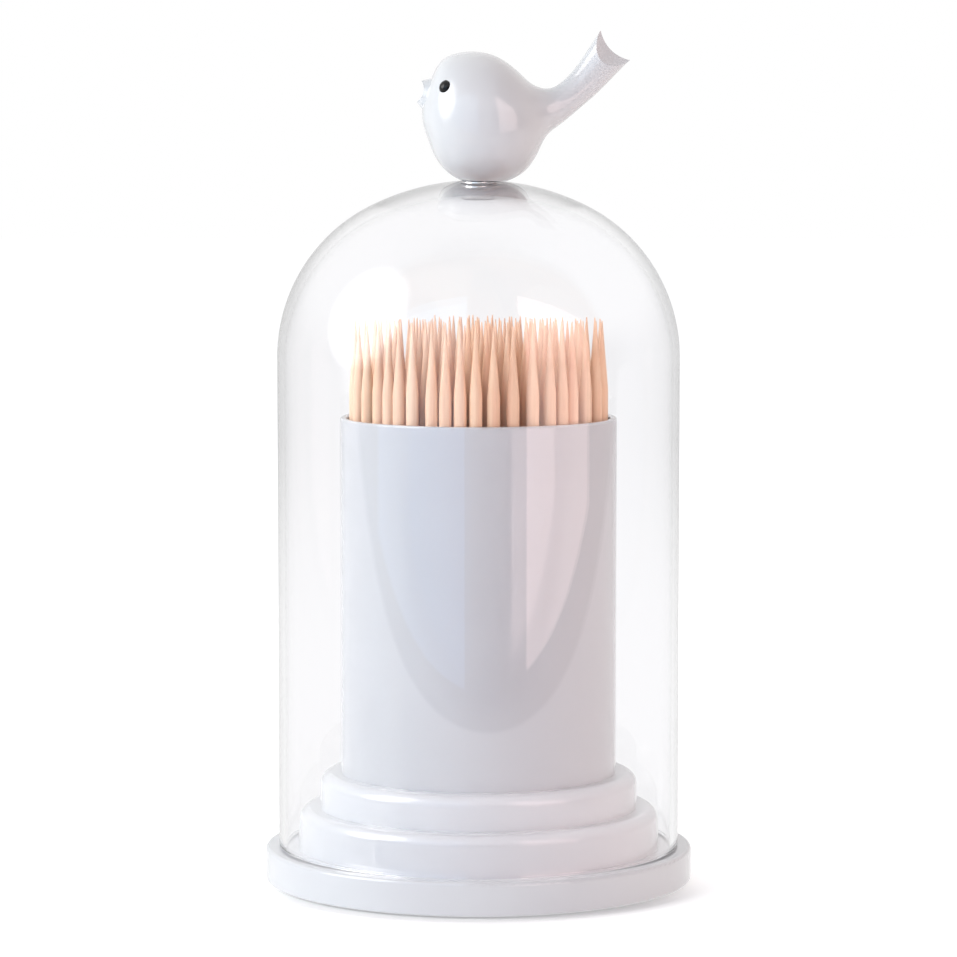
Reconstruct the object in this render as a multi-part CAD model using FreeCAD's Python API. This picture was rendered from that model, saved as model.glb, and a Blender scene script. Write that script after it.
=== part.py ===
import FreeCAD, Part
import math
import os
import random

# Free-standing toothpick dispenser: a white cup of toothpicks on a stepped plinth and a round base,
# under a clear bell cover whose knob is a small bird.
#
# Frame: +Z is up, the table is z = 0, the axis of the cup and cover is the Z axis, and the bird
# faces -X. Sizes are millimetres. "_r" is a radius, "_h" a height, "_t" a thickness.

Vector = FreeCAD.Vector
Y_AXIS = Vector(0, 1, 0)
Z_AXIS = Vector(0, 0, 1)

# --- Base disc: a hollow moulding that stands on soft pads ---------------------------------------
base_ledge = 2.0          # how far it stands out round the cover
base_top = 5.4            # height of its top face above the table
base_wall = 2.0           # outer rim
base_skin = 2.0           # top skin
base_top_round = 0.6
base_foot_round = 0.4
base_rib_t = 1.2
base_rib_count = 6
base_rib_setback = 0.6    # how far the ribs stop above the rim
boss_r = 3.6              # bosses that take the screw heads

# --- Foot pads ------------------------------------------------------------------------------------
pad_count = 4
pad_r = 4.0
pad_t = 1.2
pad_proud = 0.3           # how far the pads stand below the rim
pad_clearance = 0.1       # round the pad in its recess
pad_seat_wall = 1.0       # rim of the recess
pad_setback = 0.6         # between the recess and the inside of the rim

# --- Plinth: a two-step shell with a spigot for the cup -------------------------------------------
lower_step_room = 1.8     # between the lower step and the inside of the cover
lower_step_h = 6.0
lower_step_flare = 0.25   # how much wider the side is at its foot than at its rounding
lower_step_round = 1.7
upper_step_setback = 3.4  # from the side of the lower step
upper_step_h = 5.3
upper_step_round = 1.8
plinth_wall = 1.8
spigot_h = 2.6
spigot_wall = 1.6
pillar_r = 3.0            # pillars that the screws bite into
plinth_rib_t = 1.2

# --- Screws that hold the plinth down, from underneath --------------------------------------------
screw_count = 3
screw_circle_r = 15.0
screw_r = 1.1
screw_length = 8.0        # under the head
screw_head_r = 2.0
screw_head_h = 1.3
screw_head_round = 0.6
screw_recess_span = 2.4   # cross recess in the head
screw_recess_w = 0.6
screw_recess_depth = 0.7
screw_hole_clearance = 0.2
screw_head_clearance = 0.3
screw_pilot_clearance = 0.05
screw_end_room = 0.8      # pilot hole past the screw's end

# --- Cup ------------------------------------------------------------------------------------------
cup_setback = 3.2         # from the side of the upper step
cup_h = 54.2              # above the upper step
cup_wall = 1.0
cup_floor_t = 1.4
cup_rim_round = 0.35
cup_floor_round = 0.6
cup_fit = 0.1             # round the spigot and over it

# --- Toothpicks -----------------------------------------------------------------------------------
pick_r = 0.95
pick_length = 65.0
pick_taper = 10.6         # length of the point
pick_tip_r = 0.08
pick_length_spread = 0.3  # how much longer or shorter than pick_length one may be
pick_wall_gap = 0.35      # between the outer row and the cup
pick_row_pitch = 3.05     # from one row to the next
pick_side_pitch = 3.05    # from one pick to the next in a row
pick_scatter = 0.3        # how far a pick of an inner row stands off its even place
# Places of the outer row's front picks, measured along the row from the front (-Y) towards +X.
front_row = (-27.1, -23.8, -20.2, -17.0, -14.7, -12.6, -10.2, -7.0, -4.9, -2.7, -0.4,
             2.2, 5.1, 8.2, 11.1, 13.4, 15.5, 19.0, 22.7, 25.8)

# --- Bell cover -----------------------------------------------------------------------------------
cover_r = 30.5
cover_h = 101.3
cover_wall = 1.1          # at the side, and thicker towards the crown
cover_crown_wall = 1.8
cover_shoulder_r = 25.5   # arc from the side to the crown
cover_crown_r = 36.5      # flatter arc over the middle
cover_foot_round = 0.4

# --- Bird knob ------------------------------------------------------------------------------------
# Heights of the bird are above the crown's middle, and x is from the cover's axis.
bird_wall = 1.6
bird_bond_gap = 0.1       # film of adhesive under the bird
peg_r = 2.5               # peg through the crown
peg_clearance = 0.08
peg_boss_r = 4.2
peg_boss_h = 2.6
pin_r = 0.75              # pins that line up the two halves
pin_length = 2.2
pin_clearance = 0.1
pin_boss_wall = 0.9
pin_places = ((-3.4, 9.0), (5.2, 9.6))
# Cross-sections from the breast to the tail: the point on the back, the point on the belly and
# the half width between them.
body_sections = (
    ((-8.48, 10.6), (-8.48, 9.8), 0.5),
    ((-8.15, 12.4), (-8.25, 8.1), 2.1),
    ((-7.35, 14.6), (-7.55, 6.0), 4.2),
    ((-6.35, 16.9), (-6.75, 3.9), 6.0),
    ((-4.75, 18.5), (-5.05, 1.5), 7.7),
    ((-2.6, 19.15), (-2.55, -0.1), 8.9),
    ((-0.2, 19.25), (0.7, -0.85), 9.4),
    ((2.2, 18.75), (3.9, -0.3), 9.2),
    ((4.3, 17.6), (6.7, 1.1), 8.2),
    ((6.3, 15.95), (8.9, 4.0), 6.4),
    ((8.2, 14.35), (10.4, 6.8), 4.5),
)
tail_sections = (
    ((10.2, 13.75), (12.5, 8.5), 3.2),
    ((12.1, 14.4), (15.1, 10.65), 2.5),
    ((14.2, 16.4), (17.6, 12.8), 2.15),
    ((16.35, 19.4), (20.2, 15.4), 2.2),
    ((19.1, 23.4), (23.8, 18.9), 2.6),
)
fork_upper_tip = (18.4, 22.4)
fork_lower_tip = (22.8, 18.0)
fork_depth = 0.95         # how deep the end of the tail is hollowed between its tips
fork_slant = 45.0         # degrees that the hollow runs back on each side of the tail
beak_sections = (
    ((-5.6, 15.6), (-7.4, 9.3), 2.9),
    ((-9.2, 14.8), (-9.6, 12.05), 1.35),
)
beak_upper_tip = (-8.6, 14.9)
beak_lower_tip = (-9.35, 11.75)
mouth_depth = 0.72
eye_place = (-5.1, 14.05)
eye_r = 0.97
eye_proud = 0.5           # how far the eye stands out of its seat
eye_seat_depth = 0.2
eye_stem_r = 0.5
eye_stem_length = 1.0
eye_clearance = 0.04

flatness = 0.001          # what counts as lying in the bird's middle plane

# --- Sizes that follow ----------------------------------------------------------------------------
base_r = cover_r + base_ledge
lower_step_r = cover_r - cover_wall - lower_step_room
upper_step_r = lower_step_r - upper_step_setback
cup_r = upper_step_r - cup_setback
cup_inner_r = cup_r - cup_wall
rim_z = pad_proud
pad_circle_r = base_r - base_wall - pad_setback - pad_clearance - pad_r
lower_step_top = base_top + lower_step_h
upper_step_top = lower_step_top + upper_step_h
cup_top = upper_step_top + cup_h
cup_floor_top = upper_step_top + spigot_h + cup_fit + cup_floor_t
crown_z = base_top + cover_h
screw_seat_z = rim_z + base_rib_setback + screw_head_h


# --- Drawing helpers ------------------------------------------------------------------------------
def at(r, z):
    """Point of a half section: r from the axis, z above the table."""
    return Vector(r, 0, z)


def line(start, end):
    return Part.LineSegment(start, end).toShape()


def arc(centre, radius, start_deg, end_deg):
    """Arc in the XZ plane, with angles from +X towards +Z."""
    angles = (start_deg, (start_deg + end_deg) / 2, end_deg)
    points = [centre + Vector(math.cos(math.radians(a)), 0, math.sin(math.radians(a))) * radius for a in angles]
    return Part.Arc(*points).toShape()


def rounded_outline(corners):
    """Closed wire through (r, z, rounding) corners, each corner rounded by a tangent arc."""
    points = [at(r, z) for r, z, _ in corners]
    starts, ends, middles = [], [], []
    for i, (_, _, rounding) in enumerate(corners):
        corner = points[i]
        back = (points[i - 1] - corner).normalize()
        ahead = (points[(i + 1) % len(points)] - corner).normalize()
        half_angle = back.getAngle(ahead) / 2
        reach = rounding / math.tan(half_angle)
        starts.append(corner + back * reach)
        ends.append(corner + ahead * reach)
        inward = (back + ahead).normalize()
        middles.append(corner + inward * (rounding / math.sin(half_angle) - rounding))
    edges = []
    for i, (_, _, rounding) in enumerate(corners):
        if rounding > 0:
            edges.append(Part.Arc(starts[i], middles[i], ends[i]).toShape())
        following = (i + 1) % len(corners)
        if ends[i].distanceToPoint(starts[following]) > 1e-6:
            edges.append(line(ends[i], starts[following]))
    return Part.Wire(edges)


def turned(outline):
    """Solid of revolution about the Z axis from a closed half section."""
    return Part.Face(outline).revolve(Vector(), Z_AXIS, 360)


def disc(radius, bottom, top, place=Vector()):
    return Part.makeCylinder(radius, top - bottom, place + Vector(0, 0, bottom))


def half_disc(radius, bottom, top, side):
    """Half of a disc on the Z axis, on the side of +Y or -Y."""
    half = Part.makeCylinder(radius, top - bottom, Vector(), Z_AXIS, 180)
    if side < 0:
        half.rotate(Vector(), Z_AXIS, 180)
    half.translate(Vector(0, 0, bottom))
    return half


def on_circle(radius, count, first_deg=0.0):
    """Points evenly spaced round the Z axis."""
    angles = [math.radians(first_deg + 360.0 * i / count) for i in range(count)]
    return [Vector(radius * math.cos(a), radius * math.sin(a), 0) for a in angles]


def radial_rib(thickness, inner, outer, bottom, top, angle_deg):
    rib = Part.makeBox(outer - inner, thickness, top - bottom, Vector(inner, -thickness / 2, bottom))
    rib.rotate(Vector(), Z_AXIS, angle_deg)
    return rib


def solid_of(shape):
    """The solid of a boolean result, with split faces joined again."""
    solid, = shape.removeSplitter().Solids
    return solid


def save(shape, node):
    shape.exportStep("parts/" + node + ".step")


# --- Base -----------------------------------------------------------------------------------------
screw_places = on_circle(screw_circle_r, screw_count, 90.0)
pad_places = on_circle(pad_circle_r, pad_count)


def make_base_disc():
    inner_r = base_r - base_wall
    skin_z = base_top - base_skin
    rib_foot = rim_z + base_rib_setback
    shell = turned(rounded_outline([
        (0, skin_z, 0),
        (inner_r, skin_z, 0),
        (inner_r, rim_z, 0),
        (base_r, rim_z, base_foot_round),
        (base_r, base_top, base_top_round),
        (0, base_top, 0),
    ]))
    ring_wall = turned(rounded_outline([
        (screw_circle_r - base_rib_t / 2, rib_foot, 0),
        (screw_circle_r + base_rib_t / 2, rib_foot, 0),
        (screw_circle_r + base_rib_t / 2, base_top, 0),
        (screw_circle_r - base_rib_t / 2, base_top, 0),
    ]))
    half_step = 180.0 / base_rib_count
    ribs = [
        radial_rib(base_rib_t, screw_circle_r, inner_r + base_wall / 2, rib_foot, base_top - base_skin / 2,
                   half_step + 360.0 * i / base_rib_count)
        for i in range(base_rib_count)
    ]
    bosses = [disc(boss_r, rib_foot, base_top, place) for place in screw_places]
    seats = [disc(pad_r + pad_clearance + pad_seat_wall, rim_z, base_top - base_skin / 2, place)
             for place in pad_places]
    limit = disc(base_r - base_foot_round, rim_z, base_top)
    added = ring_wall.multiFuse(ribs + bosses + seats).common(limit)
    body = shell.fuse(added)
    cuts = [disc(pad_r + pad_clearance, rim_z, pad_t, place) for place in pad_places]
    for place in screw_places:
        cuts.append(disc(screw_head_r + screw_head_clearance, rim_z, screw_seat_z, place))
        cuts.append(disc(screw_r + screw_hole_clearance, rim_z, base_top, place))
    return solid_of(body.cut(Part.makeCompound(cuts)))


def make_foot_pads():
    return Part.makeCompound([disc(pad_r, 0, pad_t, place) for place in pad_places])


# --- Plinth and screws ----------------------------------------------------------------------------
def make_plinth():
    shoulder_r = lower_step_r - lower_step_flare
    lower_inner = lower_step_r - lower_step_flare - plinth_wall
    upper_inner = upper_step_r - plinth_wall
    spigot_r = cup_inner_r - cup_fit
    shell = turned(rounded_outline([
        (lower_inner, base_top, 0),
        (lower_step_r, base_top, 0),
        (shoulder_r, lower_step_top, lower_step_round),
        (upper_step_r, lower_step_top, 0),
        (upper_step_r, upper_step_top, upper_step_round),
        (spigot_r, upper_step_top, 0),
        (spigot_r, upper_step_top + spigot_h, 0),
        (spigot_r - spigot_wall, upper_step_top + spigot_h, 0),
        (spigot_r - spigot_wall, upper_step_top, 0),
        (0, upper_step_top, 0),
        (0, upper_step_top - plinth_wall, 0),
        (upper_inner, upper_step_top - plinth_wall, 0),
        (upper_inner, lower_step_top - plinth_wall, 0),
        (lower_inner, lower_step_top - plinth_wall, 0),
    ]))
    inside_top = upper_step_top - plinth_wall / 2
    pillars = [disc(pillar_r, base_top, inside_top, place) for place in screw_places]
    ribs = [
        radial_rib(plinth_rib_t, 0, upper_inner + plinth_wall / 2, base_top, inside_top,
                   90.0 + 360.0 * i / screw_count)
        for i in range(screw_count)
    ]
    pilot_top = screw_seat_z + screw_length + screw_end_room
    pilots = [disc(screw_r + screw_pilot_clearance, base_top, pilot_top, place) for place in screw_places]
    return solid_of(shell.multiFuse(pillars + ribs).cut(Part.makeCompound(pilots)))


def make_screw():
    """One pan-head screw, point up, with the underside of its head at z = 0."""
    point_h = screw_r
    body = turned(rounded_outline([
        (0, -screw_head_h, 0),
        (screw_head_r, -screw_head_h, screw_head_round),
        (screw_head_r, 0, 0),
        (screw_r, 0, 0),
        (screw_r, screw_length - point_h, 0),
        (0, screw_length, 0),
    ]))
    slot = Part.makeBox(screw_recess_span, screw_recess_w, screw_recess_depth,
                        Vector(-screw_recess_span / 2, -screw_recess_w / 2, -screw_head_h))
    crossing = slot.copy()
    crossing.rotate(Vector(), Z_AXIS, 90)
    return solid_of(body.cut(slot).cut(crossing))


def make_screws():
    screws = []
    for place in screw_places:
        screw = make_screw()
        screw.translate(place + Vector(0, 0, screw_seat_z))
        screws.append(screw)
    return Part.makeCompound(screws)


# --- Cup and toothpicks ---------------------------------------------------------------------------
def make_cup():
    floor_bottom = cup_floor_top - cup_floor_t
    return turned(rounded_outline([
        (0, floor_bottom, 0),
        (cup_inner_r, floor_bottom, 0),
        (cup_inner_r, upper_step_top, 0),
        (cup_r, upper_step_top, 0),
        (cup_r, cup_top, cup_rim_round),
        (cup_inner_r, cup_top, cup_rim_round),
        (cup_inner_r, cup_floor_top, cup_floor_round),
        (0, cup_floor_top, 0),
    ]))


def make_pick(place, length):
    shoulder = length - pick_taper
    pick = turned(rounded_outline([
        (0, 0, 0),
        (pick_r, 0, 0),
        (pick_r, shoulder, 0),
        (pick_tip_r, length, 0),
        (0, length, 0),
    ]))
    pick.translate(place + Vector(0, 0, cup_floor_top))
    return pick


def pick_places(scatter):
    """Places of the loosely packed picks: the outer row against the cup, then even inner rows."""
    outer_r = cup_inner_r - pick_wall_gap - pick_r
    back_span = 2 * math.pi * outer_r - (front_row[-1] - front_row[0])
    back_gaps = round(back_span / pick_side_pitch)
    back_row = [front_row[-1] + back_span * i / back_gaps for i in range(1, back_gaps)]
    angles = [along / outer_r for along in list(front_row) + back_row]
    places = [Vector(outer_r * math.sin(a), -outer_r * math.cos(a), 0) for a in angles]
    row_r = outer_r - pick_row_pitch
    while row_r > pick_row_pitch / 2:
        count = int(2 * math.pi * row_r / pick_side_pitch)
        turn = scatter.uniform(0, 360)
        for place in on_circle(row_r, count, turn):
            sideways = Vector(scatter.uniform(-1, 1), scatter.uniform(-1, 1), 0)
            places.append(place + sideways * pick_scatter)
        row_r -= pick_row_pitch
    return places


def make_toothpicks():
    scatter = random.Random(11)
    picks = []
    for place in pick_places(scatter):
        length = pick_length + scatter.uniform(-1, 1) * pick_length_spread
        picks.append(make_pick(place, length))
    return Part.makeCompound(picks)


# --- Bell cover -----------------------------------------------------------------------------------
def make_cover():
    shoulder_x = cover_r - cover_shoulder_r
    hole_r = peg_r + peg_clearance
    hole_deg = math.degrees(math.acos(hole_r / cover_crown_r))
    edges = []
    crown_ends = []
    # The inner crown arc is the outer one moved down, so the wall thickens from the side to the crown.
    for wall, drop in ((0, 0), (cover_wall, cover_crown_wall)):
        shoulder_r = cover_shoulder_r - wall
        arcs_apart = cover_crown_r - shoulder_r
        crown_centre = at(0, crown_z - drop - cover_crown_r)
        shoulder_centre = crown_centre + at(shoulder_x, math.sqrt(arcs_apart ** 2 - shoulder_x ** 2))
        meet_deg = math.degrees(math.acos(shoulder_x / arcs_apart))
        foot = at(cover_r - wall, base_top + cover_foot_round)
        spring = at(cover_r - wall, shoulder_centre.z)
        edges.append(line(foot, spring))
        edges.append(arc(shoulder_centre, shoulder_r, 0, meet_deg))
        edges.append(arc(crown_centre, cover_crown_r, meet_deg, hole_deg))
        crown_ends.append(crown_centre + at(hole_r, math.sqrt(cover_crown_r ** 2 - hole_r ** 2)))
    edges.append(line(crown_ends[0], crown_ends[1]))
    outer_foot = at(cover_r - cover_foot_round, base_top + cover_foot_round)
    inner_foot = at(cover_r - cover_wall + cover_foot_round, base_top + cover_foot_round)
    edges.append(arc(outer_foot, cover_foot_round, 0, -90))
    edges.append(arc(inner_foot, cover_foot_round, -90, -180))
    edges.append(line(outer_foot - at(0, cover_foot_round), inner_foot - at(0, cover_foot_round)))
    return turned(Part.Wire(Part.__sortEdges__(edges)))


# --- Bird knob ------------------------------------------------------------------------------------
def on_bird(place):
    """Point of the bird's middle plane from its x and its height above the crown."""
    return Vector(place[0], 0, crown_z + place[1])


def spline_through(points, stations):
    curve = Part.BSplineCurve()
    curve.interpolate(Points=points, Parameters=stations, PeriodicFlag=False)
    return curve


def half_skin(sections, side, wall):
    """Surface through one side's halves of oval sections that are drawn in by wall."""
    backs, bellies, widths = [], [], []
    for back, belly, half_width in sections:
        inward = (on_bird(belly) - on_bird(back)).normalize() * wall
        backs.append(on_bird(back) + inward)
        bellies.append(on_bird(belly) - inward)
        widths.append(Y_AXIS * side * (half_width - wall))
    stations = [0.0]
    for i in range(1, len(sections)):
        step = ((backs[i] - backs[i - 1]).Length + (bellies[i] - bellies[i - 1]).Length) / 2
        stations.append(stations[-1] + step)
    back_line, belly_line, width_line = [spline_through(points, stations) for points in (backs, bellies, widths)]
    # Each section is an exact half ellipse: two quadratic arcs whose corner poles weigh cos 45.
    poles = [
        [back, back + sideways, (back + belly) / 2 + sideways, belly + sideways, belly]
        for back, belly, sideways in zip(back_line.getPoles(), belly_line.getPoles(), width_line.getPoles())
    ]
    corner = math.cos(math.radians(45))
    weights = [[1, corner, 1, corner, 1] for _ in poles]
    skin = Part.BSplineSurface()
    skin.buildFromPolesMultsKnots(
        poles, back_line.getMultiplicities(), (3, 2, 3), back_line.getKnots(), (0, 0.5, 1),
        False, False, back_line.Degree, 2, weights)
    return skin.toShape()


def half_loft(sections, side, wall=0.0):
    """Smooth solid through one side's halves of oval sections, flat on the middle plane."""
    skin = half_skin(sections, side, wall)
    in_plane, across = [], []
    for edge in skin.Edges:
        half_width = max(abs(edge.BoundBox.YMin), abs(edge.BoundBox.YMax))
        (in_plane if half_width < flatness else across).append(edge)
    chords = [line(edge.Vertexes[0].Point, edge.Vertexes[-1].Point) for edge in across]
    faces = [skin] + [Part.Face(Part.Wire([edge, chord])) for edge, chord in zip(across, chords)]
    faces.append(Part.Face(Part.Wire(Part.__sortEdges__(in_plane + chords))))
    shell = Part.makeShell(faces)
    shell.sewShape()
    solid = Part.makeSolid(shell)
    return solid if solid.Volume > 0 else solid.reversed()


def hollowing(upper_tip, lower_tip, depth, facing, slant_deg, side):
    """Round bar that hollows an end by depth between its tips, leaning back to one side."""
    upper, lower = on_bird(upper_tip), on_bird(lower_tip)
    outward = (lower - upper).cross(Y_AXIS).normalize() * facing
    half_gap = (upper - lower).Length / 2
    lean = math.radians(slant_deg)
    square_depth = depth * math.cos(lean)
    radius = (half_gap ** 2 + square_depth ** 2) / (2 * square_depth)
    centre = (upper + lower) / 2 + outward * (radius / math.cos(lean) - depth)
    direction = (Y_AXIS * side - outward * math.tan(lean)).normalize()
    reach = 2 * cover_r
    return Part.makeCylinder(radius, 2 * reach, centre - direction * reach, direction)


def make_half_block(side):
    """One side's half of the bird as a solid block, with its open beak and the end of its tail."""
    body = half_loft(body_sections + tail_sections, side)
    beak = half_loft(beak_sections, side)
    mouth = hollowing(beak_upper_tip, beak_lower_tip, mouth_depth, -1, 0, side)
    tail_end = hollowing(fork_upper_tip, fork_lower_tip, fork_depth, 1, fork_slant, side)
    # The belly sits on the crown, on a film of adhesive.
    crown = Part.makeSphere(cover_crown_r + bird_bond_gap, Vector(0, 0, crown_z - cover_crown_r))
    return body.fuse(beak).cut(mouth).cut(tail_end).cut(crown)


def make_bird_half(half_block, side):
    """One moulded half of the bird, with its share of the peg, its pin bosses, and pins or holes."""
    hollow = half_loft(body_sections[2:-1], side, bird_wall)
    crown_inside = Part.makeSphere(cover_crown_r + bird_wall, Vector(0, 0, crown_z - cover_crown_r))
    half = half_block.cut(hollow.cut(crown_inside))
    boss = half_disc(peg_boss_r, crown_z, crown_z + peg_boss_h, side).common(half_block)
    half = half.fuse(boss).fuse(half_disc(peg_r, crown_z - cover_crown_wall, crown_z + peg_boss_h, side))
    reach = 2 * cover_r
    for place in pin_places:
        foot = on_bird(place)
        pin_boss = Part.makeCylinder(pin_r + pin_clearance + pin_boss_wall, reach, foot, Y_AXIS * side)
        half = half.fuse(pin_boss.common(half_block))
        if side < 0:
            half = half.fuse(Part.makeCylinder(pin_r, 2 * pin_length, foot - Y_AXIS * pin_length, Y_AXIS))
        else:
            half = half.cut(Part.makeCylinder(pin_r + pin_clearance, pin_length + pin_clearance, foot, Y_AXIS))
    return half


def eye_seat(half_block, side):
    """Point and outward direction on the bird's side where an eye sits."""
    foot = on_bird(eye_place)
    reach = 2 * cover_r
    inside = Part.makeLine(foot, foot + Y_AXIS * side * reach).common(half_block)
    point = max((v.Point for v in inside.Vertexes), key=lambda p: abs(p.y))
    face = min(half_block.Faces, key=lambda f: f.distToShape(Part.Vertex(point))[0])
    u, v = face.Surface.parameter(point)
    normal = face.normalAt(u, v)
    if normal.y * side < 0:
        normal = -normal
    return point, normal


def make_eye(point, normal):
    """Domed stud whose stem enters the bird's side."""
    cap_r = (eye_r ** 2 + eye_proud ** 2) / (2 * eye_proud)
    cap = Part.makeSphere(cap_r, Vector(0, 0, eye_proud - cap_r))
    cap = cap.common(disc(eye_r, 0, eye_proud))
    collar = disc(eye_r, -eye_seat_depth, 0)
    stem = disc(eye_stem_r, -eye_seat_depth - eye_stem_length, -eye_seat_depth)
    return stand_on(solid_of(cap.fuse(collar).fuse(stem)), point, normal)


def make_eye_socket(point, normal):
    seat = disc(eye_r + eye_clearance, -eye_seat_depth, 2 * eye_proud)
    bore = disc(eye_stem_r + eye_clearance, -eye_seat_depth - eye_stem_length - eye_clearance, -eye_seat_depth)
    return stand_on(seat.fuse(bore), point, normal)


def stand_on(shape, point, normal):
    shape.Placement = FreeCAD.Placement(point, FreeCAD.Rotation(Z_AXIS, normal))
    return shape


def make_bird():
    pieces = {}
    for name, side in (("left", -1), ("right", 1)):
        half_block = make_half_block(side)
        point, normal = eye_seat(half_block, side)
        half = make_bird_half(half_block, side)
        pieces["bird_" + name + "_half"] = solid_of(half.cut(make_eye_socket(point, normal)))
        pieces["bird_" + name + "_eye"] = make_eye(point, normal)
    return pieces


# --- Write every piece ----------------------------------------------------------------------------
def main():
    os.makedirs("parts", exist_ok=True)
    save(make_base_disc(), "base_disc")
    save(make_foot_pads(), "foot_pads")
    save(make_plinth(), "plinth")
    save(make_screws(), "plinth_screws")
    save(make_cup(), "cup")
    save(make_toothpicks(), "toothpicks")
    save(make_pick(Vector(), pick_length), "loose_toothpick")
    save(make_cover(), "bell_cover")
    for node, piece in make_bird().items():
        save(piece, node)


main()
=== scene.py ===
import bpy
import math
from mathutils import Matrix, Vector

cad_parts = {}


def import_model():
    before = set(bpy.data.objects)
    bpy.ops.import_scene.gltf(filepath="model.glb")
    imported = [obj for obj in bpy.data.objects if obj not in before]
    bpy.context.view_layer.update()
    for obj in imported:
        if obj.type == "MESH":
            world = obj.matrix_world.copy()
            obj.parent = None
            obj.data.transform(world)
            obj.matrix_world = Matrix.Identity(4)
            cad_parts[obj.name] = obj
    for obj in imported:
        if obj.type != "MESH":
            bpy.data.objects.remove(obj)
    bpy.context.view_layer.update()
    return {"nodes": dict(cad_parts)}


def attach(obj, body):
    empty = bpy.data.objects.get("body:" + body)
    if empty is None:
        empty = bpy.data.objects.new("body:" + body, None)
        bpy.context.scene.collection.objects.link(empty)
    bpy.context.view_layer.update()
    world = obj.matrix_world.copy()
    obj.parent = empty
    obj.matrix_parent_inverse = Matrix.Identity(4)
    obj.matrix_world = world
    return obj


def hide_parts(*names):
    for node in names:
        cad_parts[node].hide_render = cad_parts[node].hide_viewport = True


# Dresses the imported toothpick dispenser: white moulded base, plinth and cup, wooden picks, a clear
# bell cover and a glossy bird knob, on a white studio floor. Lengths are metres.

# --- Camera ---------------------------------------------------------------------------------------
image_side = 957          # the photograph's width and height in pixels
focal_pixels = 4060.6     # focal length in the photograph's pixels
sensor_width = 36.0       # millimetres
camera_place = Vector((0.0, -0.6147, 0.1178))
camera_pitch = 5.24       # degrees below the horizon
camera_near = 0.01        # nothing nearer shows

# --- Floor, where "white" is a share of full white ------------------------------------------------
floor_half = 3.0
floor_colour = (0.72, 0.72, 0.72)
floor_glow_near = 0.52    # white that the floor shows of itself, where lamps add the rest
floor_glow_far = 0.85
floor_glow_span = (0.05, 0.40)      # distances from the axis of near and far
floor_bounce = 0.35       # white that the floor gives the object from below, besides what lamps add
painted_shadow_reach = 0.010     # how near the object hides the floor's own white, as a painted contact shadow
painted_shadow_open = (0.68, 0.92)         # openness of the sky at which that painted shadow is full, and nil
foot_painted_shadow = 0.35         # share of the floor's own white left in the painted shadow at the front of the foot
painted_shadow_side = (-0.024, 0.0)          # y of the full painted shadow, at the front, and of none

# --- The floor in a reflection or through the cover ------------------------------------------------
table_edge = -0.205       # y of the white table's front edge, as reflections show it
table_edge_blur = 0.004   # either way
table_edge_turn = 0.09    # how far the edge goes back for each metre to the right
beyond_table = 0.30       # white of the floor before that edge
far_floor = 0.80          # and of the floor far from the object
far_floor_span = (0.2, 0.9)         # distances from the axis over which it falls to that

# --- Room -----------------------------------------------------------------------------------------
room_light = (0.40, 0.40, 0.405)    # what the room gives to lit surfaces
front_room_light = 0.24   # share of that which comes from the camera's side
room_light_span = (-0.6, 0.2)       # y of a direction, from that share to all of it
ceiling_white = 1.0       # white of the room in a reflection, overhead
back_white = 0.80         # and near the horizon behind the object
front_white = 0.20        # and on the camera's side
back_span = (-0.25, 0.25)           # y of a direction, from front to back
ceiling_span = (0.10, 0.40)         # z of a direction, from horizon to ceiling

# --- Lamps ----------------------------------------------------------------------------------------
lamp_aim = Vector((0.0, 0.0, 0.08))
left_card_line = ((-0.034, -0.260), (-0.474, -0.300))    # on the floor
right_card_line = ((0.126, -0.259), (0.571, -0.279))
card_seam = 0.10          # height at which each card's dimmer foot ends
left_card_top = 0.33
right_card_top = 0.35
lamp_half = 0.5           # half a lamp's width in its own coordinates, which run from 0 to 1

# --- Mouldings: colours of the clouds, range of roughness, weight of the coat ---------------------
# the base disc, plinth and cup are one white plastic, painted at three brightnesses: the cup darker as
# painted shade, the disc and plinth lighter as painted light
disc_painted_light_look = dict(light=(0.68, 0.69, 0.705), dark=(0.655, 0.66, 0.68), rough=(0.05, 0.09), coat=0.3)
plinth_painted_light_look = dict(light=(0.64, 0.65, 0.66), dark=(0.62, 0.63, 0.64), rough=(0.05, 0.09), coat=0.5)
cup_painted_shade_look = dict(light=(0.535, 0.543, 0.557), dark=(0.52, 0.528, 0.542), rough=(0.05, 0.09), coat=0.4)
bird_look = dict(light=(0.655, 0.66, 0.67), dark=(0.64, 0.645, 0.655), rough=(0.10, 0.13), coat=0.6,
                 index=1.38)
eye_look = dict(light=(0.008, 0.008, 0.009), dark=(0.004, 0.004, 0.005), rough=(0.04, 0.09), index=1.36)

# --- Clear acrylic: tints of the wall from face on (0) to edge on (1) -----------------------------
# the grey towards edge on is painted shade: a painted dark rim for the darker room that the wall's edge
# refracts and reflects
acrylic_clear = (0.985, 0.983, 0.992)
acrylic_painted_rim = (0.80, 0.80, 0.82)
acrylic_side_painted_rim = [(0.0, acrylic_clear), (0.68, (0.98, 0.978, 0.988)), (0.90, (0.90, 0.90, 0.91)),
                (1.0, acrylic_painted_rim)]
acrylic_crown_painted_rim = [(0.0, acrylic_clear), (0.93, acrylic_clear), (1.0, acrylic_painted_rim)]
acrylic_crown_span = (0.084, 0.100)          # heights over which the side's tint, with its wider painted rim, turns into the crown's
acrylic_shadow = (0.995, 0.995, 1.0, 1.0)    # share of the light that passes on to what it shades
acrylic_rough = (0.0, 0.008)

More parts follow.
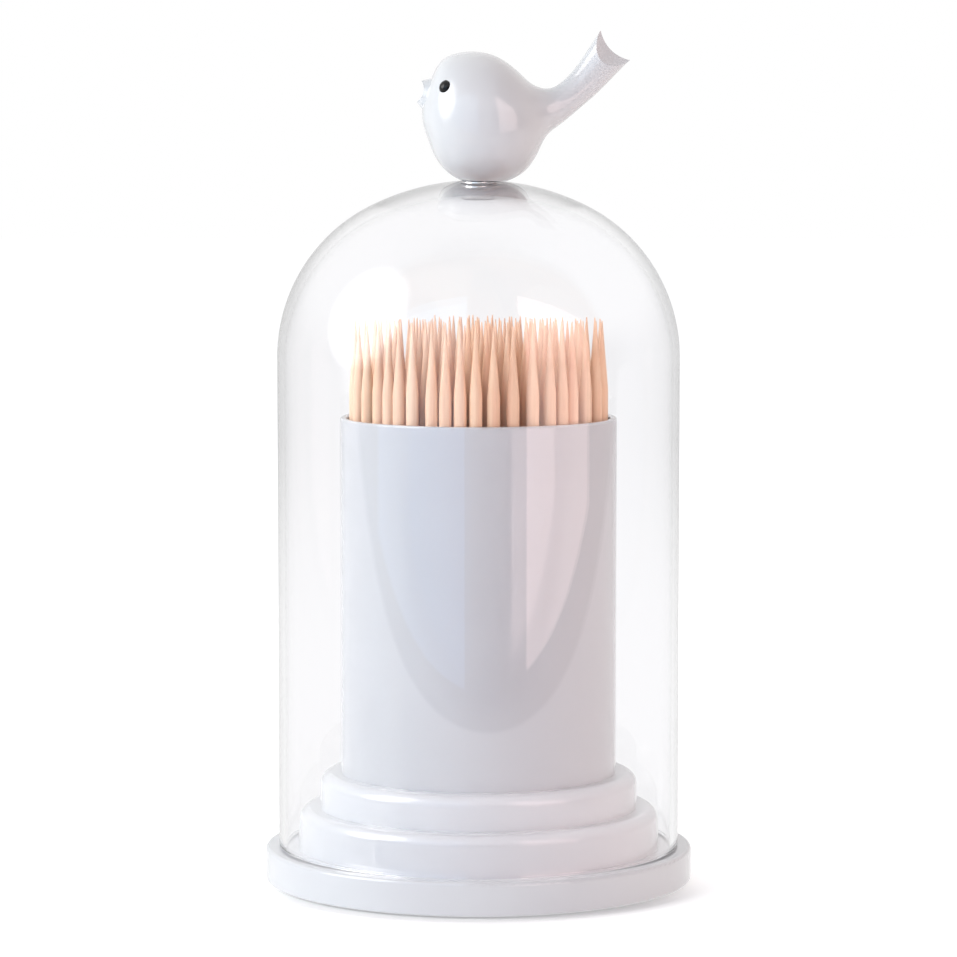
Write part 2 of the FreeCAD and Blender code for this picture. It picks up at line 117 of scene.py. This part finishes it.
# --- Pale birch, pad rubber and screw steel: (place in the noise, colour) and range of roughness ---
birch_picks = [(0.30, (0.82, 0.50, 0.335)), (0.45, (0.87, 0.61, 0.42)),
               (0.55, (0.85, 0.56, 0.38)), (0.70, (0.89, 0.66, 0.475))]
birch_grain = [(0.3, (0.86, 0.79, 0.73)), (0.6, (1.0, 1.0, 1.0))]
birch_grain_share = 0.55
birch_rough = (0.75, 0.5)
pad_grit = [(0.35, (0.52, 0.52, 0.51)), (0.7, (0.62, 0.62, 0.61))]
pad_rough = (0.7, 0.9)
steel_marks = [(0.3, (0.52, 0.53, 0.55)), (0.7, (0.70, 0.70, 0.69))]
steel_rough = (0.22, 0.42)

# --- Noises, in waves to the metre ----------------------------------------------------------------
cloud_waves = 55.0
flow_waves = 420.0
ripple_waves = 170.0
polish_waves = 300.0
pick_waves = 330.0
grain_waves = 2600.0
grit_waves = 3500.0
turning_waves = 1800.0
noise_span = (0.25, 0.75)           # where most of a noise's values lie

# --- Numbers that Blender's nodes need ------------------------------------------------------------
half_bounce = 0.5                   # parts no bounce from one or more
mix_colour_inputs = (6, 7)          # sockets of a mix node that take the colours
mix_colour_output = 2

# --- Bell cover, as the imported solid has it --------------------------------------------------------
cover_foot = 0.0054                 # height of its lower edge
cover_foot_round = 0.0004           # radius of that edge's rounding
cover_r = 0.0305
cover_wall = 0.0011
cover_shoulder = 0.0050             # radius at which the centres of the shoulder arcs lie
cover_crown = 0.0702                # height of the outer crown arc's centre
cover_crown_r = 0.0365
cover_crown_wall = 0.0018
cover_hole_r = 0.00258              # hole in the crown for the bird's peg
cover_turns = 240                   # faces round the axis
crown_steps = 28                    # faces along each stretch of the outline
shoulder_steps = 36
side_steps = 12
foot_steps = 8
same_place = 1e-9                   # distance within which two points of the outline are one


# --- Node helpers ---------------------------------------------------------------------------------
def add(tree, kind, inputs=None, **settings):
    """A new node whose inputs are set to values or linked from sockets."""
    made = tree.nodes.new(kind)
    for name, value in settings.items():
        setattr(made, name, value)
    for name, value in (inputs or {}).items():
        if isinstance(value, bpy.types.NodeSocket):
            tree.links.new(value, made.inputs[name])
        else:
            made.inputs[name].default_value = value
    return made


def new_material(name):
    """An empty material and its tree, with an output node."""
    material = bpy.data.materials.new(name)
    material.use_nodes = True
    tree = material.node_tree
    tree.nodes.clear()
    return material, tree, tree.nodes.new("ShaderNodeOutputMaterial")


def light_path(tree):
    """Outputs that tell which way a ray came."""
    return tree.nodes.new("ShaderNodeLightPath").outputs


def solid_noise(tree, scale, stretch=(1, 1, 1), **inputs):
    """Noise in the object's own space, with scale waves to the metre, squeezed by stretch."""
    place = tree.nodes.new("ShaderNodeTexCoord").outputs["Object"]
    mapping = add(tree, "ShaderNodeMapping", {"Vector": place, "Scale": stretch})
    noise = add(tree, "ShaderNodeTexNoise", {"Vector": mapping.outputs["Vector"], "Scale": scale})
    for name, value in inputs.items():
        noise.inputs[name].default_value = value
    return noise.outputs["Fac"]


def between(tree, factor, low, high):
    """A noise spread over low to high."""
    start, end = noise_span
    spread = add(tree, "ShaderNodeMapRange", {"Value": factor, "From Min": start, "From Max": end,
                                              "To Min": low, "To Max": high})
    return spread.outputs["Result"]


def colours(tree, factor, stops):
    """Colour ramp from (position, rgb) stops."""
    bands = add(tree, "ShaderNodeValToRGB", {"Fac": factor})
    elements = bands.color_ramp.elements
    while len(elements) < len(stops):
        elements.new(0.5)
    for element, (position, rgb) in zip(elements, stops):
        element.position = position
        element.color = (*rgb, 1.0)
    return bands.outputs["Color"]


def mix_colours(tree, factor, first, second, blend="MIX"):
    """First at factor 0, and second, or its blend with first, at factor 1."""
    mixed = add(tree, "ShaderNodeMix", {"Factor": factor}, data_type="RGBA", blend_type=blend)
    for colour, socket in zip((first, second), mix_colour_inputs):
        tree.links.new(colour, mixed.inputs[socket])
    return mixed.outputs[mix_colour_output]


def ramp(tree, value, span, low, high):
    """Value over span, a start and an end, turned smoothly into low to high."""
    start, end = span
    spread = add(tree, "ShaderNodeMapRange", {"Value": value, "From Min": start, "From Max": end,
                                              "To Min": low, "To Max": high}, interpolation_type="SMOOTHSTEP")
    return spread.outputs["Result"]


def maths(tree, operation, first, second):
    return add(tree, "ShaderNodeMath", {0: first, 1: second}, operation=operation).outputs[0]


def none_yet(tree, bounces):
    """1 where the count of bounces is none, otherwise 0."""
    return maths(tree, "LESS_THAN", bounces, half_bounce)


def some_yet(tree, bounces):
    """1 where the count of bounces is one or more, otherwise 0."""
    return maths(tree, "GREATER_THAN", bounces, half_bounce)


def bump(tree, height, distance, strength):
    node = add(tree, "ShaderNodeBump", {"Height": height, "Distance": distance, "Strength": strength})
    return node.outputs["Normal"]


def white_emission(tree, strength):
    glow = add(tree, "ShaderNodeEmission", {"Strength": strength})
    glow.inputs["Color"].default_value = (1.0, 1.0, 1.0, 1.0)
    return glow.outputs[0]


# --- Materials ------------------------------------------------------------------------------------
def moulded_plastic(name, light, dark, rough, coat=0.0, index=1.5):
    """Glossy moulded plastic: faint clouds in the colour, flow marks in the gloss, a slight ripple."""
    material, tree, output = new_material(name)
    clouds = solid_noise(tree, cloud_waves, Detail=3.0)
    flow = solid_noise(tree, flow_waves, stretch=(1, 1, 0.35), Detail=4.0, Roughness=0.6)
    ripple = solid_noise(tree, ripple_waves, Detail=2.0)
    shader = add(tree, "ShaderNodeBsdfPrincipled", {
        "Base Color": colours(tree, clouds, [(0.3, dark), (0.7, light)]),
        "Roughness": between(tree, flow, *rough),
        "IOR": index,
        "Coat Weight": coat,
        "Coat Roughness": 0.03,
        "Normal": bump(tree, ripple, distance=0.00001, strength=0.10),
    })
    tree.links.new(shader.outputs["BSDF"], output.inputs["Surface"])
    return material


def clear_plastic():
    """Clear acrylic with a painted grey rim at grazing angles, painted shade for the darker room that its
    edge refracts and reflects, and fine hairlines in its polish.
    """
    material, tree, output = new_material("clear_acrylic")
    facing = add(tree, "ShaderNodeLayerWeight", {"Blend": 0.5}).outputs["Facing"]
    # painted shade: grey towards the silhouette, wider on the side than on the crown
    side = colours(tree, facing, acrylic_side_painted_rim)
    crown = colours(tree, facing, acrylic_crown_painted_rim)
    place = tree.nodes.new("ShaderNodeTexCoord").outputs["Object"]
    height = add(tree, "ShaderNodeSeparateXYZ", {"Vector": place}).outputs["Z"]
    on_crown = ramp(tree, height, acrylic_crown_span, 0.0, 1.0)
    polish = solid_noise(tree, polish_waves, stretch=(1, 1, 0.2), Detail=3.0)
    shader = add(tree, "ShaderNodeBsdfPrincipled", {
        "Base Color": mix_colours(tree, on_crown, side, crown),
        "Roughness": between(tree, polish, *acrylic_rough),
        "IOR": 1.49,
        "Transmission Weight": 1.0,
    })
    let_through = add(tree, "ShaderNodeBsdfTransparent", {"Color": acrylic_shadow})
    mix = add(tree, "ShaderNodeMixShader", {0: light_path(tree)["Is Shadow Ray"], 1: shader.outputs["BSDF"],
                                            2: let_through.outputs["BSDF"]})
    tree.links.new(mix.outputs["Shader"], output.inputs["Surface"])
    return material


def pick_wood():
    """Pale birch whose picks differ in hue, with long fine grain and open fibres."""
    material, tree, output = new_material("pale_birch")
    whole = colours(tree, solid_noise(tree, pick_waves, stretch=(1, 1, 0.0), Detail=1.0), birch_picks)
    grain = solid_noise(tree, grain_waves, stretch=(1, 1, 0.03), Detail=5.0, Roughness=0.65)
    streak = colours(tree, grain, birch_grain)
    shader = add(tree, "ShaderNodeBsdfPrincipled", {
        "Base Color": mix_colours(tree, birch_grain_share, whole, streak, "MULTIPLY"),
        "Roughness": between(tree, grain, *birch_rough),
        "IOR": 1.45,
        "Normal": bump(tree, grain, distance=0.00005, strength=0.5),
    })
    tree.links.new(shader.outputs["BSDF"], output.inputs["Surface"])
    return material


def pad_rubber():
    """Pale grey rubber with a fine grit."""
    material, tree, output = new_material("pad_rubber")
    grit = solid_noise(tree, grit_waves, Detail=4.0)
    shader = add(tree, "ShaderNodeBsdfPrincipled", {
        "Base Color": colours(tree, grit, pad_grit),
        "Roughness": between(tree, grit, *pad_rough),
        "Normal": bump(tree, grit, distance=0.00005, strength=0.6),
    })
    tree.links.new(shader.outputs["BSDF"], output.inputs["Surface"])
    return material


def screw_steel():
    """Zinc-plated steel with turning marks."""
    material, tree, output = new_material("zinc_steel")
    marks = solid_noise(tree, turning_waves, stretch=(0.4, 1, 1), Detail=4.0)
    shader = add(tree, "ShaderNodeBsdfPrincipled", {
        "Base Color": colours(tree, marks, steel_marks),
        "Metallic": 1.0,
        "Roughness": between(tree, marks, *steel_rough),
        "Normal": bump(tree, marks, distance=0.00003, strength=0.4),
    })
    tree.links.new(shader.outputs["BSDF"], output.inputs["Surface"])
    return material


# --- Room -----------------------------------------------------------------------------------------
def white_when_met(tree, mirrored_level):
    """Strength of the white that the camera meets, straight, by reflection or through the cover.

    A reflection shows mirrored_level of it, and light that the object scatters gets none."""
    rays = light_path(tree)
    mirrored = maths(tree, "MAXIMUM", rays["Is Glossy Ray"], rays["Is Transmission Ray"])
    met = maths(tree, "MAXIMUM", rays["Is Camera Ray"], mirrored)
    unscattered = none_yet(tree, rays["Diffuse Depth"])
    reflected = some_yet(tree, rays["Glossy Depth"])
    missing = maths(tree, "MULTIPLY", reflected, maths(tree, "SUBTRACT", 1.0, mirrored_level))
    level = maths(tree, "SUBTRACT", 1.0, missing)
    return maths(tree, "MULTIPLY", maths(tree, "MULTIPLY", met, unscattered), level)


def make_room():
    """World that shows as white and lights the object at a lower level."""
    world = bpy.data.worlds.new("studio")
    world.use_nodes = True
    tree = world.node_tree
    tree.nodes.clear()
    direction = tree.nodes.new("ShaderNodeTexCoord").outputs["Generated"]
    parts = add(tree, "ShaderNodeSeparateXYZ", {"Vector": direction}).outputs
    horizon = ramp(tree, parts["Y"], back_span, front_white, back_white)
    overhead = ramp(tree, parts["Z"], ceiling_span, 0.0, 1.0)
    rise = maths(tree, "MULTIPLY", overhead, maths(tree, "SUBTRACT", ceiling_white, horizon))
    shown = white_when_met(tree, maths(tree, "ADD", horizon, rise))
    white = add(tree, "ShaderNodeBackground", {"Color": (1.0, 1.0, 1.0, 1.0), "Strength": shown})
    given = ramp(tree, parts["Y"], room_light_span, front_room_light, 1.0)
    light = add(tree, "ShaderNodeBackground", {"Color": (*room_light, 1.0), "Strength": given})
    scattered = some_yet(tree, light_path(tree)["Diffuse Depth"])
    mix = add(tree, "ShaderNodeMixShader", {0: scattered, 1: white.outputs[0], 2: light.outputs[0]})
    output = tree.nodes.new("ShaderNodeOutputWorld")
    tree.links.new(mix.outputs[0], output.inputs["Surface"])
    bpy.context.scene.world = world


def mirrored_floor(tree, place, away):
    """White of the floor in a reflection: a table up to its front edge, a darker room before it."""
    turned = maths(tree, "MULTIPLY", place["X"], table_edge_turn)
    from_edge = maths(tree, "SUBTRACT", place["Y"], turned)
    edge_span = (table_edge - table_edge_blur, table_edge + table_edge_blur)
    on_table = ramp(tree, from_edge, edge_span, 0.0, 1.0)
    table = maths(tree, "MULTIPLY", ramp(tree, away, far_floor_span, 1.0, far_floor), on_table)
    beyond = maths(tree, "MULTIPLY", maths(tree, "SUBTRACT", 1.0, on_table), beyond_table)
    return maths(tree, "ADD", table, beyond)


def floor_white_with_painted_shadow(tree, place, away):
    """White that the floor shows of itself, with a painted shadow: less of it close before the foot of the
    object.
    """
    open_white = ramp(tree, away, floor_glow_span, floor_glow_near, floor_glow_far)
    # painted shadow: less of the floor's own white where the object stands near, only at its front
    open_sky = add(tree, "ShaderNodeAmbientOcclusion", {"Distance": painted_shadow_reach}).outputs["AO"]
    painted_shadow_depth = maths(tree, "SUBTRACT", 1.0, ramp(tree, open_sky, painted_shadow_open, foot_painted_shadow, 1.0))
    in_front = ramp(tree, place["Y"], painted_shadow_side, 1.0, 0.0)
    shown = maths(tree, "SUBTRACT", 1.0, maths(tree, "MULTIPLY", painted_shadow_depth, in_front))
    return maths(tree, "MULTIPLY", open_white, shown)


def make_floor():
    """White floor that keeps the object's soft shadow from the lamps, and a painted contact shadow before its
    foot. Reflections show the table's front edge.
    """
    mesh = bpy.data.meshes.new("floor")
    corners = [(floor_half * x, floor_half * y, 0) for x, y in ((-1, -1), (1, -1), (1, 1), (-1, 1))]
    mesh.from_pydata(corners, [], [(0, 1, 2, 3)])
    floor = bpy.data.objects.new("floor", mesh)
    bpy.context.scene.collection.objects.link(floor)
    material, tree, output = new_material("floor_white")
    position = tree.nodes.new("ShaderNodeTexCoord").outputs["Object"]
    place = add(tree, "ShaderNodeSeparateXYZ", {"Vector": position}).outputs
    away = add(tree, "ShaderNodeVectorMath", {0: position}, operation="LENGTH").outputs["Value"]
    rays = light_path(tree)
    from_below = maths(tree, "MULTIPLY", some_yet(tree, rays["Diffuse Depth"]), floor_bounce)
    seen_white = maths(tree, "MULTIPLY", rays["Is Camera Ray"], floor_white_with_painted_shadow(tree, place, away))
    glow = white_emission(tree, maths(tree, "ADD", seen_white, from_below))
    lit = add(tree, "ShaderNodeBsdfDiffuse", {"Color": (*floor_colour, 1.0)})
    seen = add(tree, "ShaderNodeAddShader", {0: lit.outputs[0], 1: glow})
    plain = white_emission(tree, white_when_met(tree, mirrored_floor(tree, place, away)))
    by_way_of_object = maths(tree, "MAXIMUM", rays["Is Glossy Ray"], rays["Is Transmission Ray"])
    unscattered = none_yet(tree, rays["Diffuse Depth"])
    sharp = maths(tree, "MULTIPLY", by_way_of_object, unscattered)
    mix = add(tree, "ShaderNodeMixShader", {0: sharp, 1: seen.outputs[0], 2: plain})
    tree.links.new(mix.outputs[0], output.inputs["Surface"])
    mesh.materials.append(material)


# --- Lamps and camera -----------------------------------------------------------------------------
def set_shine(light, soft_edge):
    """Fades the lamp over soft_edge, a share of its width, and hides it behind the clear cover."""
    light.use_nodes = True
    tree = light.node_tree
    rays = light_path(tree)
    bounces = maths(tree, "ADD", rays["Glossy Depth"], rays["Diffuse Depth"])
    straight = none_yet(tree, bounces)
    through_cover = maths(tree, "MULTIPLY", rays["Is Transmission Ray"], straight)
    shine = maths(tree, "SUBTRACT", 1.0, through_cover)
    if soft_edge:
        spot = tree.nodes.new("ShaderNodeNewGeometry").outputs["Parametric"]
        off_middle = add(tree, "ShaderNodeVectorMath", {0: spot, 1: (lamp_half, lamp_half, 0.0)},
                         operation="DISTANCE").outputs["Value"]
        fade = ramp(tree, off_middle, (lamp_half - soft_edge, lamp_half), 1.0, 0.0)
        shine = maths(tree, "MULTIPLY", shine, fade)
    tree.links.new(shine, tree.nodes["Emission"].inputs["Strength"])


def lamp(name, shape, place, facing, width, height, radiance, colour, soft_edge=0.0, mirrored=True):
    """Area lamp that shines along -facing, with its height upright. Mirrored: gloss and the cover show it."""
    light = bpy.data.lights.new(name, "AREA")
    light.shape = shape
    light.size, light.size_y = width, height
    area = width * height * (math.pi / 4 if shape == "ELLIPSE" else 1.0)
    light.energy = radiance * math.pi * area
    light.color = colour
    set_shine(light, soft_edge)
    holder = bpy.data.objects.new(name, light)
    holder.location = place
    holder.rotation_euler = facing.to_track_quat("Z", "Y").to_euler()
    holder.visible_camera = False
    holder.visible_glossy = mirrored
    holder.visible_transmission = mirrored
    bpy.context.scene.collection.objects.link(holder)


def soft_box(name, shape, azimuth, elevation, distance, **settings):
    """Lamp that faces lamp_aim. Azimuth is in degrees from the camera's side (-Y) towards +X."""
    turn, rise = math.radians(azimuth), math.radians(elevation)
    outward = Vector((math.sin(turn) * math.cos(rise), -math.cos(turn) * math.cos(rise), math.sin(rise)))
    lamp(name, shape, lamp_aim + outward * distance, outward, **settings)


def standing_card(name, line, bottom, top, radiance, colour):
    """Lit card that stands upright over a line on the floor and faces the object."""
    start, end = [Vector((*foot, 0.0)) for foot in line]
    across = end - start
    outward = across.cross(Vector((0, 0, 1))).normalized()
    middle = (start + end) / 2
    if outward.dot(middle) < 0:
        outward = -outward
    centre = middle + Vector((0, 0, (bottom + top) / 2))
    lamp(name, "RECTANGLE", centre, outward, across.length, top - bottom, radiance, colour)


def make_lamps():
    soft_box("key", "ELLIPSE", azimuth=-73, elevation=24, distance=0.45, width=0.44, height=0.54,
             radiance=4.9, colour=(1.0, 0.99, 0.98), soft_edge=0.20)
    soft_box("overhead", "RECTANGLE", azimuth=180, elevation=62, distance=0.80, width=0.90, height=0.50,
             radiance=2.0, colour=(1.0, 1.0, 1.0), mirrored=False)
    standing_card("left_card_foot", left_card_line, bottom=0.0, top=card_seam, radiance=0.62,
                  colour=(0.27, 0.57, 1.0))
    standing_card("left_card", left_card_line, bottom=card_seam, top=left_card_top, radiance=1.1,
                  colour=(0.48, 0.74, 1.0))
    standing_card("right_card_foot", right_card_line, bottom=0.0, top=card_seam, radiance=1.90,
                  colour=(1.0, 0.78, 0.75))
    standing_card("right_card", right_card_line, bottom=card_seam, top=right_card_top, radiance=2.6,
                  colour=(1.0, 0.76, 0.74))


def make_camera():
    lens = bpy.data.cameras.new("camera")
    lens.sensor_width = sensor_width
    lens.lens = focal_pixels * sensor_width / image_side
    lens.clip_start = camera_near
    camera = bpy.data.objects.new("camera", lens)
    camera.location = camera_place
    camera.rotation_euler = (math.radians(90.0 - camera_pitch), 0.0, 0.0)
    bpy.context.scene.collection.objects.link(camera)
    bpy.context.scene.camera = camera


# --- Bell cover -----------------------------------------------------------------------------------
def arc_points(centre, radius, start, end, count, side=1):
    """Outline points (radius, height, outward and upward normal) of an arc in degrees.

    Side -1 turns the normals to the arc's centre."""
    points = []
    for step in range(count + 1):
        angle = math.radians(start + (end - start) * step / count)
        along = (math.cos(angle), math.sin(angle))
        points.append((centre[0] + radius * along[0], centre[1] + radius * along[1],
                       side * along[0], side * along[1]))
    return points


def wall_face(inset, drop, side):
    """Crown, shoulder and side of the wall's outer (side 1) or inner face, from the hole down."""
    shoulder_r = cover_r - cover_shoulder - inset
    crown_z = cover_crown - drop
    apart = cover_crown_r - shoulder_r
    shoulder_z = crown_z + math.sqrt(apart ** 2 - cover_shoulder ** 2)
    meet = math.degrees(math.acos(cover_shoulder / apart))
    hole = math.degrees(math.acos(cover_hole_r / cover_crown_r))
    crown = arc_points((0.0, crown_z), cover_crown_r, hole, meet, crown_steps, side)
    shoulder = arc_points((cover_shoulder, shoulder_z), shoulder_r, meet, 0.0, shoulder_steps, side)
    fall = cover_foot + cover_foot_round - shoulder_z
    heights = [shoulder_z + fall * step / side_steps for step in range(side_steps + 1)]
    return [crown, shoulder, [(cover_r - inset, height, side, 0.0) for height in heights]]


def wall_foot():
    """The rounded foot of the wall, from its outer to its inner face."""
    low = cover_foot + cover_foot_round
    outer = arc_points((cover_r - cover_foot_round, low), cover_foot_round, 0.0, -90.0, foot_steps)
    inner_centre = cover_r - cover_wall + cover_foot_round
    inner = arc_points((inner_centre, low), cover_foot_round, -90.0, -180.0, foot_steps)
    sole = [(outer[-1][0], cover_foot, 0.0, -1.0), (inner[0][0], cover_foot, 0.0, -1.0)]
    return [outer, sole, inner]


def bell_outline():
    """Closed outline of the cover's wall as stretches of points, from the hole outwards and back inside."""
    outside = wall_face(0.0, 0.0, 1)
    inside = wall_face(cover_wall, cover_crown_wall, -1)
    stretches = outside + wall_foot() + [stretch[::-1] for stretch in inside[::-1]]
    hole_heights = (stretches[-1][-1][1], stretches[0][0][1])
    return stretches + [[(cover_hole_r, height, -1.0, 0.0) for height in hole_heights]]


def outline_rings():
    """Rings (radius, height) of the turned outline, and the strips that join them.

    A strip is a pair of (ring's number, normal), because a ring on a corner has two normals."""
    rings, strips = [], []
    for stretch in bell_outline():
        ends = []
        for radius, height, *normal in stretch:
            if rings and math.dist(rings[-1], (radius, height)) < same_place:
                ring = len(rings) - 1
            elif rings and math.dist(rings[0], (radius, height)) < same_place:
                ring = 0
            else:
                ring = len(rings)
                rings.append((radius, height))
            ends.append((ring, normal))
        strips += zip(ends, ends[1:])
    return rings, strips


def turn_outline():
    """Corners, faces and their normals of the cover's outline turned on its axis."""
    rings, strips = outline_rings()
    turns = [2 * math.pi * step / cover_turns for step in range(cover_turns)]
    corners = [(radius * math.cos(turn), radius * math.sin(turn), height)
               for radius, height in rings for turn in turns]
    faces, normals = [], []
    for first, second in strips:
        for step in range(cover_turns):
            after = (step + 1) % cover_turns
            loop = ((first, step), (second, step), (second, after), (first, after))
            faces.append([ring * cover_turns + turn for (ring, _), turn in loop])
            for (_, (outward, upward)), turn in loop:
                normals.append((outward * math.cos(turns[turn]), outward * math.sin(turns[turn]), upward))
    return corners, faces, normals


def make_bell(material):
    """The cover as a smooth mesh with true normals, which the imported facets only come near."""
    corners, faces, normals = turn_outline()
    mesh = bpy.data.meshes.new("bell_glass")
    mesh.from_pydata(corners, [], faces)
    mesh.update()
    mesh.polygons.foreach_set("use_smooth", [True] * len(faces))
    mesh.normals_split_custom_set(normals)
    mesh.materials.append(material)
    bell = bpy.data.objects.new("bell_glass", mesh)
    bpy.context.scene.collection.objects.link(bell)
    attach(bell, "cover")
    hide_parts("bell_cover")


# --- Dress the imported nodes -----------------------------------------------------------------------
def dress(frame):
    bird = moulded_plastic("bird_moulding", **bird_look)
    eye = moulded_plastic("eye_bead", **eye_look)
    wood = pick_wood()
    clear = clear_plastic()
    looks = {
        # lit and shaded copies of one white plastic: painted light on the disc and plinth, painted shade on
        # the cup
        "base_disc": moulded_plastic("disc_moulding_painted_light", **disc_painted_light_look),
        "plinth": moulded_plastic("plinth_moulding_painted_light", **plinth_painted_light_look),
        "cup": moulded_plastic("cup_moulding_painted_shade", **cup_painted_shade_look),
        "foot_pads": pad_rubber(),
        "plinth_screws": screw_steel(),
        "toothpicks": wood,
        "loose_toothpick": wood,
        "bell_cover": clear,
        "bird_left_half": bird,
        "bird_right_half": bird,
        "bird_left_eye": eye,
        "bird_right_eye": eye,
    }
    for name, material in looks.items():
        mesh = frame["nodes"][name].data
        mesh.materials.clear()
        mesh.materials.append(material)
    make_bell(clear)


def main():
    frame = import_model()
    make_camera()
    make_room()
    make_floor()
    make_lamps()
    dress(frame)
    bpy.context.scene.view_settings.view_transform = "Standard"


main()
